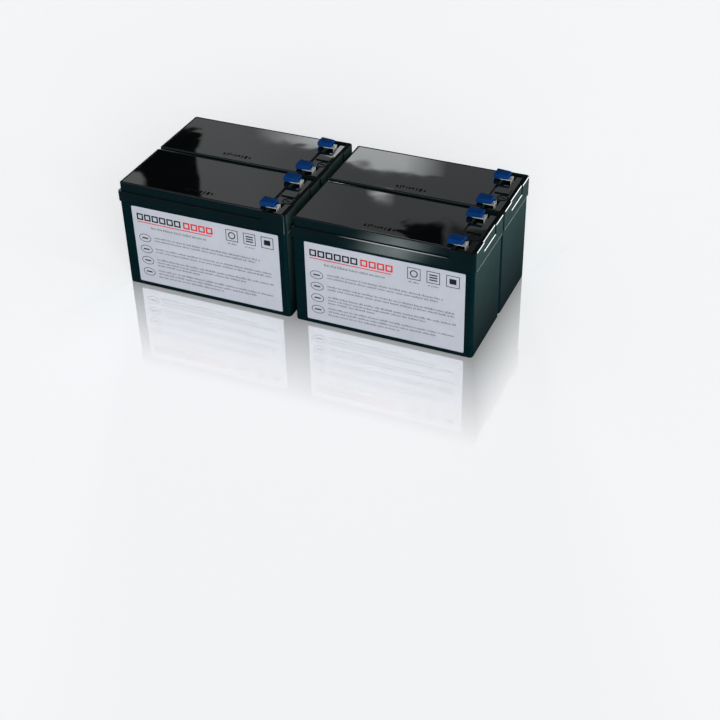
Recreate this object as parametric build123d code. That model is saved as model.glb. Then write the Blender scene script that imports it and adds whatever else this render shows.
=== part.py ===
"""Replacement battery set: four sealed lead-acid blocks that stand two by two.

Millimetres, +Z up, +X along the blocks towards their terminals, the labels facing -Y.
The origin is the bottom centre of the set. Each block is modelled once, with its own
corner at its left, front and bottom, and then copied to its place.
"""
import os

from build123d import *

os.makedirs("parts", exist_ok=True)

# The block and the set
block_length = 151.0
block_width = 65.0
block_height = 94.0
pair_gap = 3.0

# Container
container_inset = 0.8
corner_radius = 3.0
outer_wall = 2.4
floor_thickness = 2.5
partition = 1.6
cells_per_row = 3

# Lid
lid_height = 17.0
flange_height = 9.2
side_inset = 1.6
end_inset = 2.4
notch_depth = 0.9
shoulder_length = 21.0
shoulder_width = 19.0
rim_width = 1.6
deck_thickness = 2.5
valve_chamber_height = 6.0
chamber_ledge = 2.0

# Vent cover and valve caps
cover_thickness = 2.0
cover_clearance = 0.2
vent_sides = 8
vent_radius = 1.5
vent_cap_radius = 3.2

# Terminal bay and pockets
bay_length = 20.5
bay_end_rim = 4.4
bay_depth = 1.6
pocket_length = 10.8
pocket_depth = 6.0
pocket_from_side = 4.2
negative_pocket_width = 15.4
positive_pocket_width = 17.2
bridge_length = 12.0
bridge_width = 8.5
bridge_offset = 2.4
bridge_height = 0.9

# Tab terminals, their seals and sleeves
terminal_from_end = 11.4
terminal_from_side = 11.3
tab_width = 6.3
tab_thickness = 0.8
tab_length = 12.2
tab_bend = 1.4
tab_rise = 2.7
slot_clearance = 0.1
seal_margin = 1.2
seal_thickness = 2.0
sleeve_width = 10.2
sleeve_mouth_width = 8.6
sleeve_height = 4.4
sleeve_radius = 1.1
sleeve_end_wall = 1.6
sleeve_open_end = 1.5
sleeve_clearance = 0.15

# Plates, straps and connectors
mat_thickness = 1.5
positive_count = 2
positive_to_negative = 1.25
cell_clearance = 0.3
head_space = 12.0
strap_width = 7.0
strap_height = 5.0
strap_gap = 1.0
connector_width = 8.0
connector_reach = 4.0
post_height = 5.0

# Labels on the front walls of the front blocks
label_left_margin = 11.4
label_right_margin = 7.9
label_top_margin = 2.15
label_bottom_margin = 3.85
label_thickness = 0.15

# Heights that follow
container_height = block_height - lid_height
step_height = container_height + flange_height
cover_bottom = block_height - cover_thickness
chamber_floor = cover_bottom - valve_chamber_height
lid_ceiling = chamber_floor - deck_thickness
bay_floor = block_height - bay_depth
pocket_floor = block_height - pocket_depth
seal_bottom = pocket_floor - seal_thickness
strap_bottom = container_height - head_space
strap_top = strap_bottom + strap_height
post_top = strap_top + post_height
tab_height = block_height + tab_rise

# Places in the plan that follow
wall_inner = container_inset + outer_wall
cell_length = (block_length - 2 * wall_inner - (cells_per_row - 1) * partition) / cells_per_row
cell_width = (block_width - 2 * wall_inner - partition) / 2
bay_start = block_length - bay_length
cover_side = side_inset + rim_width
cover_start = end_inset + rim_width
chamber_side = cover_side + chamber_ledge
chamber_start = cover_start + chamber_ledge
chamber_end = bay_start - chamber_ledge
riser_x = block_length - terminal_from_end
tab_tip = riser_x - tab_length
negative_y = terminal_from_side
positive_y = block_width - terminal_from_side
negative_count = positive_count + 1
mat_count = 2 * positive_count
plates_width = cell_width - 2 * cell_clearance - mat_count * mat_thickness
negative_plate = plates_width / (negative_count + positive_count * positive_to_negative)
positive_plate = negative_plate * positive_to_negative


def plan(x_low, x_high, y_low, y_high):
    """A rectangle in plan between two opposite corners."""
    centre = Pos((x_low + x_high) / 2, (y_low + y_high) / 2)
    return centre * Rectangle(x_high - x_low, y_high - y_low)


def raise_plan(outline, z_low, z_high):
    """A plan outline extruded between two heights."""
    return extrude(Pos(0, 0, z_low) * outline, amount=z_high - z_low)


def slab(x_low, x_high, y_low, y_high, z_low, z_high):
    """A square-cornered block between two opposite corners."""
    return raise_plan(plan(x_low, x_high, y_low, y_high), z_low, z_high)


def cell_corner(column, row):
    """The low corner of a cell in plan."""
    x_low = wall_inner + column * (cell_length + partition)
    y_low = wall_inner + row * (cell_width + partition)
    return x_low, y_low


def cell_space(column, row, z_low, z_high):
    """The straight-walled space of one cell between two heights."""
    x_low, y_low = cell_corner(column, row)
    return slab(x_low, x_low + cell_length, y_low, y_low + cell_width, z_low, z_high)


def cells():
    """Every cell as its column and row, front row first."""
    return [(column, row) for row in range(2) for column in range(cells_per_row)]


def connector_bars():
    """The bars that join neighbouring cells, one through each notch, in the order of the current."""
    bars = []
    for row in range(2):
        for column in range(cells_per_row - 1):
            x_low, y_low = cell_corner(column, row)
            wall_low = x_low + cell_length
            middle = y_low + cell_width / 2
            bars.append(slab(wall_low - connector_reach, wall_low + partition + connector_reach,
                             middle - connector_width / 2, middle + connector_width / 2,
                             strap_top, container_height))
    first_x, back_y = cell_corner(0, 1)
    bars.append(slab(first_x + cell_clearance, first_x + cell_clearance + connector_width,
                     back_y - partition - connector_reach, back_y + connector_reach,
                     strap_top, container_height))
    return bars


def container():
    """The tub, with its cells and the notches that the connectors fill."""
    outline = plan(container_inset, block_length - container_inset,
                   container_inset, block_width - container_inset)
    tub = raise_plan(fillet(outline.vertices(), corner_radius), 0, container_height)
    for column, row in cells():
        tub -= cell_space(column, row, floor_thickness, container_height)
    for bar in connector_bars():
        tub -= bar
    return tub


def flange_outline():
    """The lid's lower outline, which stands proud of the container."""
    outline = plan(0, block_length, 0, block_width)
    return fillet(outline.vertices(), corner_radius)


def step_outline():
    """The lid's upper outline: set back on three sides, notched between two flush terminal corners."""
    shoulder_start = block_length - shoulder_length
    outline = flange_outline()
    outline -= plan(0, shoulder_start, 0, side_inset)
    outline -= plan(0, shoulder_start, block_width - side_inset, block_width)
    outline -= plan(0, end_inset, 0, block_width)
    outline -= plan(block_length - notch_depth, block_length, shoulder_width, block_width - shoulder_width)
    left_corners = outline.vertices().group_by(Axis.X)[0]
    return fillet(left_corners, corner_radius)


def pocket(side_low, side_high):
    """The space of a terminal pocket between two places across the block."""
    return slab(bay_start, bay_start + pocket_length, side_low, side_high, pocket_floor, block_height)


def seal_block(y_middle):
    """The space that the potting fills round one tab."""
    half_length = tab_thickness / 2 + seal_margin
    half_width = tab_width / 2 + seal_margin
    return slab(riser_x - half_length, riser_x + half_length,
                y_middle - half_width, y_middle + half_width, seal_bottom, pocket_floor)


def tab_passage(y_middle, clearance, z_low, z_high):
    """The slot that a tab's riser passes through."""
    half_length = tab_thickness / 2 + clearance
    half_width = tab_width / 2 + clearance
    return slab(riser_x - half_length, riser_x + half_length,
                y_middle - half_width, y_middle + half_width, z_low, z_high)


def vent_places():
    """The middles of the vents, spaced evenly over the valve chamber's floor."""
    pitch_x = (chamber_end - chamber_start) / cells_per_row
    pitch_y = (block_width - 2 * chamber_side) / 2
    return [(chamber_start + (column + 0.5) * pitch_x, chamber_side + (row + 0.5) * pitch_y)
            for column, row in cells()]


def lid():
    """The stepped lid with its valve chamber, cover seat, terminal bay and pockets."""
    body = raise_plan(flange_outline(), container_height, step_height)
    body += raise_plan(step_outline(), step_height, block_height)
    for column, row in cells():
        body -= cell_space(column, row, container_height, lid_ceiling)
    body -= slab(chamber_start, chamber_end, chamber_side, block_width - chamber_side,
                 chamber_floor, cover_bottom)
    body -= slab(cover_start, bay_start, cover_side, block_width - cover_side, cover_bottom, block_height)
    body -= slab(bay_start, block_length - bay_end_rim, rim_width, block_width - rim_width,
                 bay_floor, block_height)
    back_side = block_width - pocket_from_side
    body -= pocket(pocket_from_side, pocket_from_side + negative_pocket_width)
    body -= pocket(back_side - positive_pocket_width, back_side)
    bridge_x = bay_start + (bay_length - bay_end_rim - bridge_length) / 2
    bridge_y = block_width / 2 + bridge_offset - bridge_width / 2
    body += slab(bridge_x, bridge_x + bridge_length, bridge_y, bridge_y + bridge_width,
                 bay_floor, bay_floor + bridge_height)
    for y_middle in (negative_y, positive_y):
        body -= seal_block(y_middle)
        body -= tab_passage(y_middle, slot_clearance, lid_ceiling, seal_bottom)
    for x, y in vent_places():
        body -= Pos(x, y, lid_ceiling) * extrude(RegularPolygon(vent_radius, vent_sides), amount=deck_thickness)
    return body


def vent_cover():
    """The plate over the valve chamber, level with the lid's rim."""
    start = cover_start + cover_clearance
    side = cover_side + cover_clearance
    return slab(start, bay_start, side, block_width - side, cover_bottom, block_height)


def vent_caps():
    """The valve caps, held down on their vents by the cover."""
    cap = extrude(RegularPolygon(vent_cap_radius, vent_sides), amount=valve_chamber_height)
    return Compound([Pos(x, y, chamber_floor) * cap for x, y in vent_places()])


def plate_side(row, is_positive):
    """True where a group's strap lies at the terminal end of its cell."""
    return is_positive == (row == 1)


def plate_group(column, row, is_positive):
    """The plates of one polarity in a cell, joined by their cast strap at one end."""
    x_low, y_low = cell_corner(column, row)
    x_high = x_low + cell_length - cell_clearance
    x_low += cell_clearance
    bare_end = strap_width + strap_gap
    if plate_side(row, is_positive):
        plate_low, plate_high = x_low + bare_end, x_high
        strap_low, strap_high = x_high - strap_width, x_high
    else:
        plate_low, plate_high = x_low, x_high - bare_end
        strap_low, strap_high = x_low, x_low + strap_width
    pitch = positive_plate + negative_plate + 2 * mat_thickness
    if is_positive:
        count, thickness = positive_count, positive_plate
        first = y_low + cell_clearance + negative_plate + mat_thickness
    else:
        count, thickness = negative_count, negative_plate
        first = y_low + cell_clearance
    last = first + (count - 1) * pitch + thickness
    group = slab(strap_low, strap_high, first, last, strap_bottom, strap_top)
    for index in range(count):
        y = first + index * pitch
        group += slab(plate_low, plate_high, y, y + thickness, floor_thickness, strap_bottom)
    return group


def plate_groups(is_positive):
    """The plate groups of one polarity in all the cells."""
    return Compound([plate_group(column, row, is_positive) for column, row in cells()])


def separators():
    """The glass mat sheets between the plates of all the cells."""
    sheets = []
    for column, row in cells():
        x_low, y_low = cell_corner(column, row)
        y = y_low + cell_clearance
        for index in range(mat_count):
            y += positive_plate if index % 2 else negative_plate
            sheets.append(slab(x_low, x_low + cell_length, y, y + mat_thickness,
                               floor_thickness, strap_bottom))
            y += mat_thickness
    return Compound(sheets)


def cell_connectors():
    """The bars between the cells, and the posts that carry the tabs of the two end cells."""
    bars = connector_bars()
    last_x = cell_corner(cells_per_row - 1, 0)[0] + cell_length - cell_clearance
    post_start = riser_x - tab_thickness / 2 - seal_margin
    for y_middle in (negative_y, positive_y):
        bars.append(slab(post_start, last_x, y_middle - connector_width / 2,
                         y_middle + connector_width / 2, strap_top, post_top))
    return Compound(bars)


def tab_terminal(y_middle):
    """A flat tab that rises from its post and bends level towards the middle of the block."""
    line = FilletPolyline((riser_x, post_top), (riser_x, tab_height), (tab_tip, tab_height), radius=tab_bend)
    profile = Plane.XZ * trace(line, tab_thickness)
    return Pos(0, y_middle, 0) * extrude(profile, amount=tab_width / 2, both=True)


def sleeve(y_middle):
    """The insulating sleeve over the level part of a tab: closed at the tip, narrower at its mouth."""
    open_end = riser_x - sleeve_open_end
    cavity_end = tab_tip - sleeve_clearance
    closed_end = cavity_end - sleeve_end_wall
    half_end = sleeve_width / 2
    half_mouth = sleeve_mouth_width / 2
    outline = Polygon((closed_end, -half_end), (open_end, -half_mouth), (open_end, half_mouth),
                      (closed_end, half_end), align=None)
    body = Pos(0, y_middle, tab_height - sleeve_height / 2) * extrude(outline, amount=sleeve_height)
    top_edges = body.edges().group_by(Axis.Z)[-1]
    body = fillet([edge for edge in top_edges if abs(edge.tangent_at(0.5).X) > 0.5], sleeve_radius)
    half_width = tab_width / 2 + sleeve_clearance
    half_height = tab_thickness / 2 + sleeve_clearance
    return body - slab(cavity_end, open_end, y_middle - half_width, y_middle + half_width,
                       tab_height - half_height, tab_height + half_height)


def terminal_seals():
    """The potting round both tabs in the pocket floors."""
    return Compound([seal_block(y) - tab_passage(y, 0, seal_bottom, pocket_floor)
                     for y in (negative_y, positive_y)])


def label():
    """The printed sheet on a container's front wall."""
    return slab(label_left_margin, block_length - label_right_margin,
                container_inset - label_thickness, container_inset,
                label_bottom_margin, container_height - label_top_margin)


block_pieces = {
    "container": container(),
    "lid": lid(),
    "vent_cover": vent_cover(),
    "vent_caps": vent_caps(),
    "positive_plates": plate_groups(True),
    "negative_plates": plate_groups(False),
    "separators": separators(),
    "cell_connectors": cell_connectors(),
    "positive_terminal": tab_terminal(positive_y),
    "negative_terminal": tab_terminal(negative_y),
    "positive_sleeve": sleeve(positive_y),
    "negative_sleeve": sleeve(negative_y),
    "terminal_seals": terminal_seals(),
}
left_start = -pair_gap / 2 - block_length
right_start = pair_gap / 2
block_places = {
    "front_left": Pos(left_start, -block_width, 0),
    "front_right": Pos(right_start, -block_width, 0),
    "back_left": Pos(left_start, 0, 0),
    "back_right": Pos(right_start, 0, 0),
}
for block, place in block_places.items():
    for piece, shape in block_pieces.items():
        export_step(place * shape, f"parts/{block}_{piece}.step")
for block in ("front_left", "front_right"):
    export_step(block_places[block] * label(), f"parts/{block}_label.step")
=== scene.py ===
"""Dresses the battery set: four sealed blocks with labels, blue terminal caps and bright tabs."""

import math
import random

import bpy
from mathutils import Matrix, Vector


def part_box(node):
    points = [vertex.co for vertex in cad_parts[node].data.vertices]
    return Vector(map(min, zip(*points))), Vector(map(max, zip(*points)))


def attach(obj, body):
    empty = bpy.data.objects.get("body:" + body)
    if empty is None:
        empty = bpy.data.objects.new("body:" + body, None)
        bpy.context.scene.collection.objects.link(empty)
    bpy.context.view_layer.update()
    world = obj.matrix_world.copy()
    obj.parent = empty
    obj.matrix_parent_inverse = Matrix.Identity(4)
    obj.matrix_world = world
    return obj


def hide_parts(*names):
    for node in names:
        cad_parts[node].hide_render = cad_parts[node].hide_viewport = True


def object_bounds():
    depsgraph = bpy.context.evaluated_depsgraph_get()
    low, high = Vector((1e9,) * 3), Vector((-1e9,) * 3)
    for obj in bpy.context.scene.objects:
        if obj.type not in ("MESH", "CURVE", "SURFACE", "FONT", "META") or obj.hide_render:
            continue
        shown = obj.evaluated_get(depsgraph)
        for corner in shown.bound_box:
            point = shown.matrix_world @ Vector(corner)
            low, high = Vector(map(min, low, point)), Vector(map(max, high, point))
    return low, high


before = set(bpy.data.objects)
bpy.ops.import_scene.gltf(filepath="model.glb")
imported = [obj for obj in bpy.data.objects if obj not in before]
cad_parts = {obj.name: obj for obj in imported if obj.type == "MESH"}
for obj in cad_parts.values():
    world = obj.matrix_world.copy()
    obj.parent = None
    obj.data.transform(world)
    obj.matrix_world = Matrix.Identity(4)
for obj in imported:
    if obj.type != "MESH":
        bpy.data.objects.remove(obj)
cad_low, cad_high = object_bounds()

MM = 0.001
SAME = 0.01 * MM
MERGED = 0.002 * MM
FACING = 0.9
SMOOTH_ANGLE = 35.0
CORNER_ANGLE = 50.0
BODY = "root"
BLOCKS = ("front_left", "front_right", "back_left", "back_right")
FIRST = BLOCKS[0]
LABELLED = ("front_left", "front_right")
POLES = ("negative", "positive")

# Moulded tub
CORNER_RADIUS = 3.0 * MM
CORNER_STEPS = 7
OUTER_WALL = 2.4 * MM
PARTITION = 1.6 * MM
FLOOR_THICKNESS = 2.5 * MM
CELLS_ALONG = 3
FOOT_BEVEL = 0.7 * MM

# Moulded lid, measured from its lower front left corner
FLANGE_HEIGHT = 9.2 * MM
SIDE_INSET = 1.6 * MM
END_INSET = 2.4 * MM
NOTCH_DEPTH = 0.9 * MM
SHOULDER_LENGTH = 21.0 * MM
SHOULDER_WIDTH = 19.0 * MM
RIM_WIDTH = 1.6 * MM
BAY_LENGTH = 20.5 * MM
BAY_END_RIM = 4.4 * MM
BAY_DEPTH = 1.6 * MM
SEAT_DEPTH = 2.0 * MM
POCKET_LENGTH = 10.8 * MM
POCKET_DEPTH = 6.0 * MM
POCKET_FROM_SIDE = 4.2 * MM
NEGATIVE_POCKET = 15.4 * MM
POSITIVE_POCKET = 17.2 * MM
WELL_DEPTH = 2.0 * MM
BRIDGE_LOW = Vector((132.55 * MM, 30.65 * MM, 0.0))
BRIDGE_HIGH = Vector((144.55 * MM, 39.15 * MM, 0.0))
BRIDGE_HEIGHT = 0.9 * MM
STEP_CORNER = 1.6 * MM
TOP_CHAMFER = 0.42 * MM
JOINT_CHAMFER = 0.4 * MM
# Height of the pale band painted on the end faces just above the lid's lower edge: a painted highlight along
# the joint.
JOINT_HIGHLIGHT_BAND = 0.5 * MM
EDGE_ROUND = 0.2 * MM
RECESS_SLACK = 0.1 * MM

# Polarity ring on the terminal bay
RING_CENTRE = Vector((141.4 * MM, 24.6 * MM, 0.0))
RING_RADIUS = 4.5 * MM
RING_LINE = 0.95 * MM
RING_HEIGHT = 0.35 * MM
RING_SIDES = 48
RING_EDGE = 0.1 * MM

# Cover plate
COVER_EDGE = 0.15 * MM
COVER_ANGLE = 12.0
COVER_GRID = 2.6 * MM
COVER_WAVE = 0.03 * MM
COVER_WAVE_SIZE = 30.0 * MM
COVER_WAVE_EDGE = 6.0 * MM
MARK_START = Vector((58.0 * MM, 11.0 * MM, 0.0))
MARK_ROW = 24.0 * MM
MARK_HEIGHT = 0.12 * MM

# Terminal caps and tabs
CAP_ROUND = 1.0 * MM
CAP_MOUTH = 8.6 * MM
CAP_MOUTH_HEIGHT = 3.8 * MM
CAP_WALL = 1.1 * MM
CAP_CAVITY = 8.0 * MM
CAP_ANGLE = 40.0
TAB_THICKNESS = 0.8 * MM
TAB_BEND = 1.4 * MM
TAB_EDGE = 0.12 * MM
POTTING_INSET = 0.6 * MM
POTTING_RISE = 0.35 * MM

# Label sheet and its print, measured from the sheet's lower left corner
SHEET_CORNER = 1.0 * MM
SHEET_EDGE = 0.04 * MM
INK_GAP = 0.01 * MM
INK_THICKNESS = 0.02 * MM
FACING_FRONT = (math.radians(90.0), 0.0, 0.0)

# Places and sizes in the print, in millimetres
BOX_WIDTH = 5.9
BOX_GAP = 1.0
BOX_BOTTOM = 59.2
BOX_TOP = 65.2
BOX_LINE = 1.3
SQUARES = (85.4, 101.0, 116.6)
SQUARE_WIDTH = 10.7
SQUARE_BOTTOM = 57.0
SQUARE_TOP = 67.4
SQUARE_LINE = 0.55
OVALS = (42.6, 32.1, 21.3, 10.4)
OVAL_MIDDLE = 9.6
OVAL_WIDTH = 11.2
OVAL_HEIGHT = 7.6
OVAL_LINE = 0.5
LETTER_GAP = 0.4
TEXT_LEFT = 18.6
TEXT_HEIGHT = 1.2
# Each line of small print: its height on the sheet and where it ends
TEXT_LINES = (
    (44.4, 115.2),
    (41.6, 111.0),
    (33.8, 125.4),
    (31.0, 124.6),
    (23.8, 125.3),
    (21.0, 100.4),
    (18.2, 59.6),
    (13.2, 125.1),
    (10.2, 110.0),
    (7.2, 79.3),
)

# Values that several finishes share
CASE_DUST = (0.03, 0.045, 0.045)
COVER_DUST = (0.12, 0.12, 0.12)
SCUFF_ROUGHNESS = 0.3
SATIN = {
    "smooth": 0.38,
    "rough": 0.44,
    "depth": 0.006 * MM,
    "scuffs": 0.10,
    "Specular_Tint": (0.55, 1.0, 1.0, 1.0),
}
INK = {
    "speck": 2600.0,
    "smooth": 0.40,
    "rough": 0.55,
    "depth": 0.004 * MM,
    "Specular_IOR_Level": 0.1,
}

# Camera, fitted to the photograph's frame
IMAGE_SIZE = 720
FOCAL_PIXELS = 1347.24
SENSOR_WIDTH = 36.0
CAMERA_PLACE = Vector((414.207 * MM, -861.958 * MM, 608.732 * MM))
CAMERA_AZIMUTH = 0.4204
CAMERA_ELEVATION = 0.6284
CAMERA_ROLL = -0.0256

# Floor: its own glow for the camera, what mirrors see of it, and the sheen near the blocks
FLOOR_SIZE = 14.0
FLOOR_COLOR = (0.86, 0.865, 0.88, 1.0)
FLOOR_GLOW = 0.56
MIRRORED_GLOW = 0.34
SPOT_CENTRE = Vector((34.0 * MM, -195.0 * MM, 0.0))
SPOT_CORE = 10.0 * MM
SPOT_REACH = 36.0 * MM
SPOT_SHINE = 27.0
SHEEN_NEAR = 0.64
SHEEN_REACH = 100.0 * MM
SHEEN_SIDE = 2.6

# Surroundings: the pale backdrop, and the room that glossy surfaces show
PALE_LEVEL = 0.88
PALE_COLOR = (0.95, 0.985, 1.0, 1.0)
ROOM_LEVEL = 0.20
ROOM_SHINE = 0.45
BAND_SHINE = 2.7
STRIP_SHINE = 16.0
STRIP_WAY = Vector((0.53, 0.83, 0.18))
PANEL_SHINE = 11.0
PANEL_WAY = Vector((-0.325, -0.52, 0.79))


def corners_of(node):
    """A CAD node's lowest and highest corner as vectors."""
    low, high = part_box(node)
    return Vector(low), Vector(high)


def terminal_pitch():
    """How far the positive terminal stands from the negative one."""
    return corners_of(FIRST + "_positive_terminal")[0].y - corners_of(FIRST + "_negative_terminal")[0].y


def block_shift(block):
    """How far a block stands from the first one."""
    return corners_of(block + "_lid")[0] - corners_of(FIRST + "_lid")[0]


def select_only(piece):
    """Leaves one piece selected and active."""
    bpy.ops.object.select_all(action="DESELECT")
    piece.select_set(True)
    bpy.context.view_layer.objects.active = piece


def settle(piece, name):
    """Names a new primitive and moves its place into its mesh."""
    piece.name = name
    piece.data.name = name
    select_only(piece)
    bpy.ops.object.transform_apply(location=True, rotation=True, scale=True)
    return piece


def add_block(name, low, high):
    """A box between two corners, the start of a piece."""
    bpy.ops.object.select_all(action="DESELECT")
    bpy.ops.mesh.primitive_cube_add(size=1.0, location=(low + high) / 2, scale=high - low)
    return settle(bpy.context.active_object, name)


def enter_edit():
    """Into edit mode."""
    bpy.ops.object.mode_set(mode="EDIT")


def leave_edit():
    """Back to object mode."""
    bpy.ops.object.mode_set(mode="OBJECT")


def pick_all():
    """Selects the whole mesh in edit mode."""
    bpy.ops.mesh.select_all(action="SELECT")


def start_picking(kind):
    """Goes into edit mode for faces or edges, with nothing selected."""
    enter_edit()
    bpy.ops.mesh.select_mode(type=kind)
    bpy.ops.mesh.select_all(action="DESELECT")


def pick_faces(piece, wanted):
    """Goes into edit mode with the faces selected whose centre and normal pass the test."""
    start_picking("FACE")
    leave_edit()
    for face in piece.data.polygons:
        face.select = wanted(face.center, face.normal)
    enter_edit()


def pick_edges(piece, wanted):
    """Goes into edit mode with the edges selected whose two ends pass the test."""
    start_picking("EDGE")
    leave_edit()
    points = piece.data.vertices
    for edge in piece.data.edges:
        start, end = edge.vertices
        edge.select = wanted(points[start].co, points[end].co)
    enter_edit()


def pick_sharp_edges(piece, wanted):
    """The same for the edges at which the surface turns a corner."""
    start_picking("EDGE")
    bpy.ops.mesh.edges_select_sharp(sharpness=math.radians(CORNER_ANGLE))
    leave_edit()
    points = piece.data.vertices
    sharp = [edge.index for edge in piece.data.edges if edge.select]
    for group in (piece.data.vertices, piece.data.edges, piece.data.polygons):
        group.foreach_set("select", [False] * len(group))
    for index in sharp:
        start, end = piece.data.edges[index].vertices
        piece.data.edges[index].select = wanted(points[start].co, points[end].co)
    enter_edit()


def near(first, second):
    """True for two lengths that are the same within a hundredth of a millimetre."""
    return abs(first - second) < SAME


def upright(start, end):
    """True for an edge that stands along Z."""
    return near(start.x, end.x) and near(start.y, end.y)


def level_at(start, end, height):
    """True for an edge that lies flat at one height."""
    return near(start.z, height) and near(end.z, height)


def within(point, low, high):
    """True for a point over the plan rectangle between two corners."""
    return low[0] < point.x < high[0] and low[1] < point.y < high[1]


def on_outline(point, low, high):
    """True for a point on the round-cornered plan outline between two corners."""
    reach_x = max(low.x + CORNER_RADIUS - point.x, point.x - high.x + CORNER_RADIUS, 0.0)
    reach_y = max(low.y + CORNER_RADIUS - point.y, point.y - high.y + CORNER_RADIUS, 0.0)
    return near(math.hypot(reach_x, reach_y), CORNER_RADIUS)


def cut_across(axis, place):
    """Bisects what is selected with a plane across one axis."""
    point = Vector((0.0, 0.0, 0.0))
    point[axis] = place
    normal = Vector((0.0, 0.0, 0.0))
    normal[axis] = 1.0
    bpy.ops.mesh.bisect(plane_co=point, plane_no=normal)


def extrude(shift):
    """Extrudes what is selected by a shift."""
    bpy.ops.mesh.extrude_region_move(TRANSFORM_OT_translate={"value": shift})


def bevel(width, steps):
    """Bevels the selected edges."""
    bpy.ops.mesh.bevel(offset=width, segments=steps, affect="EDGES")


def push(piece, height, area, rise):
    """Extrudes the level faces at one height whose centres lie in an area along Z."""

    def wanted(centre, normal):
        return normal.z > FACING and near(centre.z, height) and area(centre)

    pick_faces(piece, wanted)
    extrude((0.0, 0.0, rise))


def apply_modifier(piece, kind, **settings):
    """Adds one modifier with its settings and applies it."""
    select_only(piece)
    modifier = piece.modifiers.new(kind.title(), kind)
    for setting, value in settings.items():
        setattr(modifier, setting, value)
    bpy.ops.object.modifier_apply(modifier=modifier.name)


def shade(piece, angle=SMOOTH_ANGLE):
    """Shades a piece smoothly up to an angle, with its large faces kept flat."""
    select_only(piece)
    bpy.ops.object.shade_smooth_by_angle(angle=math.radians(angle))
    apply_modifier(piece, "WEIGHTED_NORMAL", keep_sharp=True)


def soften(piece, width, steps=2, angle=SMOOTH_ANGLE):
    """Rounds the sharp edges a little, as a mould does, and shades the piece smoothly."""
    leave_edit()
    apply_modifier(
        piece,
        "BEVEL",
        width=width,
        segments=steps,
        limit_method="ANGLE",
        angle_limit=math.radians(angle),
    )
    shade(piece)


def outward(piece):
    """Merges doubled points and turns all faces outwards."""
    enter_edit()
    pick_all()
    bpy.ops.mesh.remove_doubles(threshold=MERGED)
    bpy.ops.mesh.normals_make_consistent(inside=False)
    leave_edit()


def copy_by(piece, name, shift):
    """A copy with its own mesh, moved by a shift in that mesh."""
    twin = piece.copy()
    twin.data = piece.data.copy()
    twin.name = name
    twin.data.name = name
    twin.data.transform(Matrix.Translation(shift))
    bpy.context.collection.objects.link(twin)
    return twin


def dress(piece, material, slot, *nodes):
    """Gives a finished piece its material and body and hides the CAD nodes that it stands for; the slot is
    not used.
    """
    piece.data.materials.clear()
    piece.data.materials.append(material)
    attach(piece, BODY)
    if nodes:
        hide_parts(*nodes)


def finish_faces(piece, material, wanted):
    """Gives the faces whose centre and normal pass the test one more finish."""
    piece.data.materials.append(material)
    for face in piece.data.polygons:
        if wanted(face.center, face.normal):
            face.material_index = len(piece.data.materials) - 1


def model_tub():
    """The open tub with its six cells, under the lid."""
    low, high = corners_of(FIRST + "_container")
    tub = add_block(FIRST + "_tub", low, high)
    pick_edges(tub, upright)
    bevel(CORNER_RADIUS, CORNER_STEPS)
    pick_edges(tub, lambda start, end: level_at(start, end, low.z))
    bevel(FOOT_BEVEL, 2)
    pick_edges(tub, lambda start, end: level_at(start, end, high.z))
    bevel(JOINT_CHAMFER, 1)
    pick_faces(tub, lambda centre, normal: normal.z > FACING)
    rim = OUTER_WALL - PARTITION / 2
    bpy.ops.mesh.inset(thickness=rim - JOINT_CHAMFER)
    edge = Vector((rim, rim, 0.0))

    def cell_tops(centre, normal):
        return normal.z > FACING and within(centre, low + edge, high - edge)

    for step in range(1, CELLS_ALONG):
        pick_faces(tub, cell_tops)
        cut_across(0, low.x + rim + (high.x - low.x - 2 * rim) * step / CELLS_ALONG)
    pick_faces(tub, cell_tops)
    cut_across(1, (low.y + high.y) / 2)
    pick_faces(tub, cell_tops)
    bpy.ops.mesh.inset(thickness=PARTITION / 2, use_individual=True)
    depth = high.z - low.z - FLOOR_THICKNESS
    extrude((0.0, 0.0, -depth))
    leave_edit()
    shade(tub)
    return tub


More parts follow.
